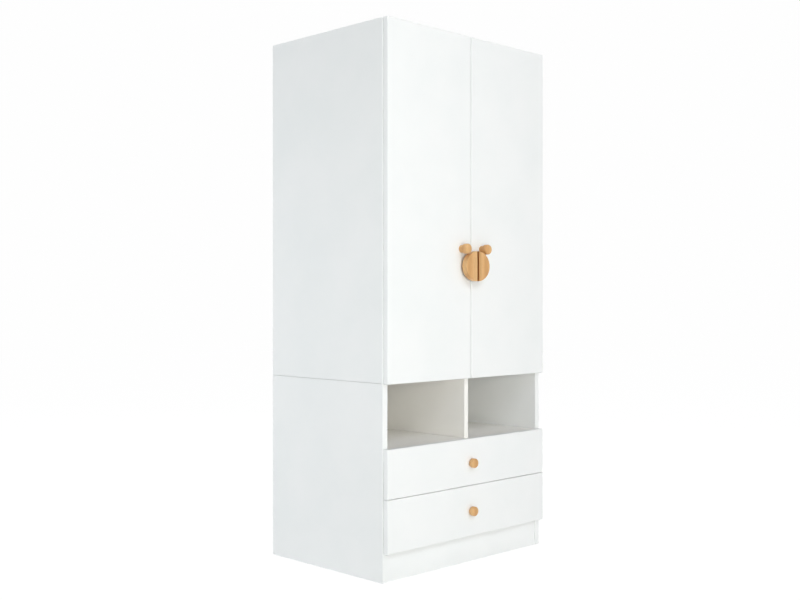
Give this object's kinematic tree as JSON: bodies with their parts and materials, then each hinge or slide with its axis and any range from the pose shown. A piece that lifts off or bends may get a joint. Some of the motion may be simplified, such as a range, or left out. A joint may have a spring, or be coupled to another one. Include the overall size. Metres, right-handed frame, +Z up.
{
  "type": "wardrobe with drawers",
  "caption": "Tall white wardrobe with overlay doors and a split round wooden pull, open cubbies under the doors, and drawers with round wooden knobs above a recessed kick board.",
  "frame": {"origin": "on the floor, at the middle of the bounding box of the whole wardrobe with its pulls", "axes": "+Z up, the doors and drawers face -Y, +X to the right when facing the doors"},
  "size_m": [0.8, 0.6176, 1.8],
  "materials": {
    "white_board": "white satin lacquer on board",
    "inner_board": "warm white melamine on board",
    "drawer_box_board": "white satin foil on board",
    "beech": "oiled solid beech, straight grain",
    "dowel_wood": "raw birch",
    "hardware_steel": "zinc and nickel plated",
    "rail_chrome": "polished chrome plate",
    "buffer_plastic": "soft clear plastic",
    "glide_plastic": "grey moulded plastic"
  },
  "bodies": {
    "carcass": {"upper_left_side": "white_board", "upper_right_side": "white_board", "lower_left_side": "white_board", "lower_right_side": "white_board", "kick_board": "white_board", "top_panel": "inner_board", "upper_floor": "inner_board", "upper_back": "inner_board", "wall_rail": "inner_board", "hat_shelf": "inner_board", "cubby_floor": "inner_board", "cubby_divider": "inner_board", "lower_floor": "inner_board", "lower_back": "inner_board", "rear_kick_rail": "inner_board", "shelf_pins": "hardware_steel", "hanging_rail": "rail_chrome", "rail_sockets": "rail_chrome", "floor_glides": "glide_plastic", "front_buffers": "buffer_plastic", "dowels": "dowel_wood", "cam_locks": "hardware_steel", "cam_bolts": "hardware_steel", "carcass_screws": "hardware_steel", "hinge_plates": "hardware_steel", "hinge_arms": "hardware_steel", "runner_rails": "hardware_steel"},
    "left_door": {"left_door": "white_board", "left_hinge_cups": "hardware_steel", "left_hinge_pins": "hardware_steel", "left_pull": "beech", "left_pull_foot": "beech", "left_ear_knob": "beech", "left_door_screws": "hardware_steel"},
    "right_door": {"right_door": "white_board", "right_hinge_cups": "hardware_steel", "right_hinge_pins": "hardware_steel", "right_pull": "beech", "right_pull_foot": "beech", "right_ear_knob": "beech", "right_door_screws": "hardware_steel"},
    "upper_drawer": {"upper_drawer_front": "white_board", "upper_drawer_left": "drawer_box_board", "upper_drawer_right": "drawer_box_board", "upper_drawer_back": "drawer_box_board", "upper_drawer_base": "drawer_box_board", "upper_drawer_knob": "beech", "upper_drawer_fixings": "hardware_steel", "upper_drawer_rails": "hardware_steel"},
    "lower_drawer": {"lower_drawer_front": "white_board", "lower_drawer_left": "drawer_box_board", "lower_drawer_right": "drawer_box_board", "lower_drawer_back": "drawer_box_board", "lower_drawer_base": "drawer_box_board", "lower_drawer_knob": "beech", "lower_drawer_fixings": "hardware_steel", "lower_drawer_rails": "hardware_steel"},
    "upper_runner": {"upper_runner_middles": "hardware_steel"},
    "lower_runner": {"lower_runner_middles": "hardware_steel"}
  },
  "joints": [
    {"name": "left_door_hinge", "type": "hinge", "parent": "carcass", "child": "left_door", "pos_m": [-0.3905, -0.2633, 1.217], "axis": [0, 0, -1], "range_deg": [0, 95]},
    {"name": "right_door_hinge", "type": "hinge", "parent": "carcass", "child": "right_door", "pos_m": [0.3905, -0.2633, 1.217], "axis": [0, 0, 1], "range_deg": [0, 95]},
    {"name": "upper_drawer_slide", "type": "slide", "parent": "carcass", "child": "upper_drawer", "axis": [0, -1, 0], "range_m": [0, 0.45]},
    {"name": "upper_runner_slide", "type": "slide", "parent": "carcass", "child": "upper_runner", "axis": [0, -1, 0], "range_m": [0, 0.225]},
    {"name": "lower_drawer_slide", "type": "slide", "parent": "carcass", "child": "lower_drawer", "axis": [0, -1, 0], "range_m": [0, 0.45]},
    {"name": "lower_runner_slide", "type": "slide", "parent": "carcass", "child": "lower_runner", "axis": [0, -1, 0], "range_m": [0, 0.225]}
  ],
  "couplings": [
    {"joint": "upper_runner_slide", "follows": "upper_drawer_slide", "ratio": 0.5},
    {"joint": "lower_runner_slide", "follows": "lower_drawer_slide", "ratio": 0.5}
  ]
}
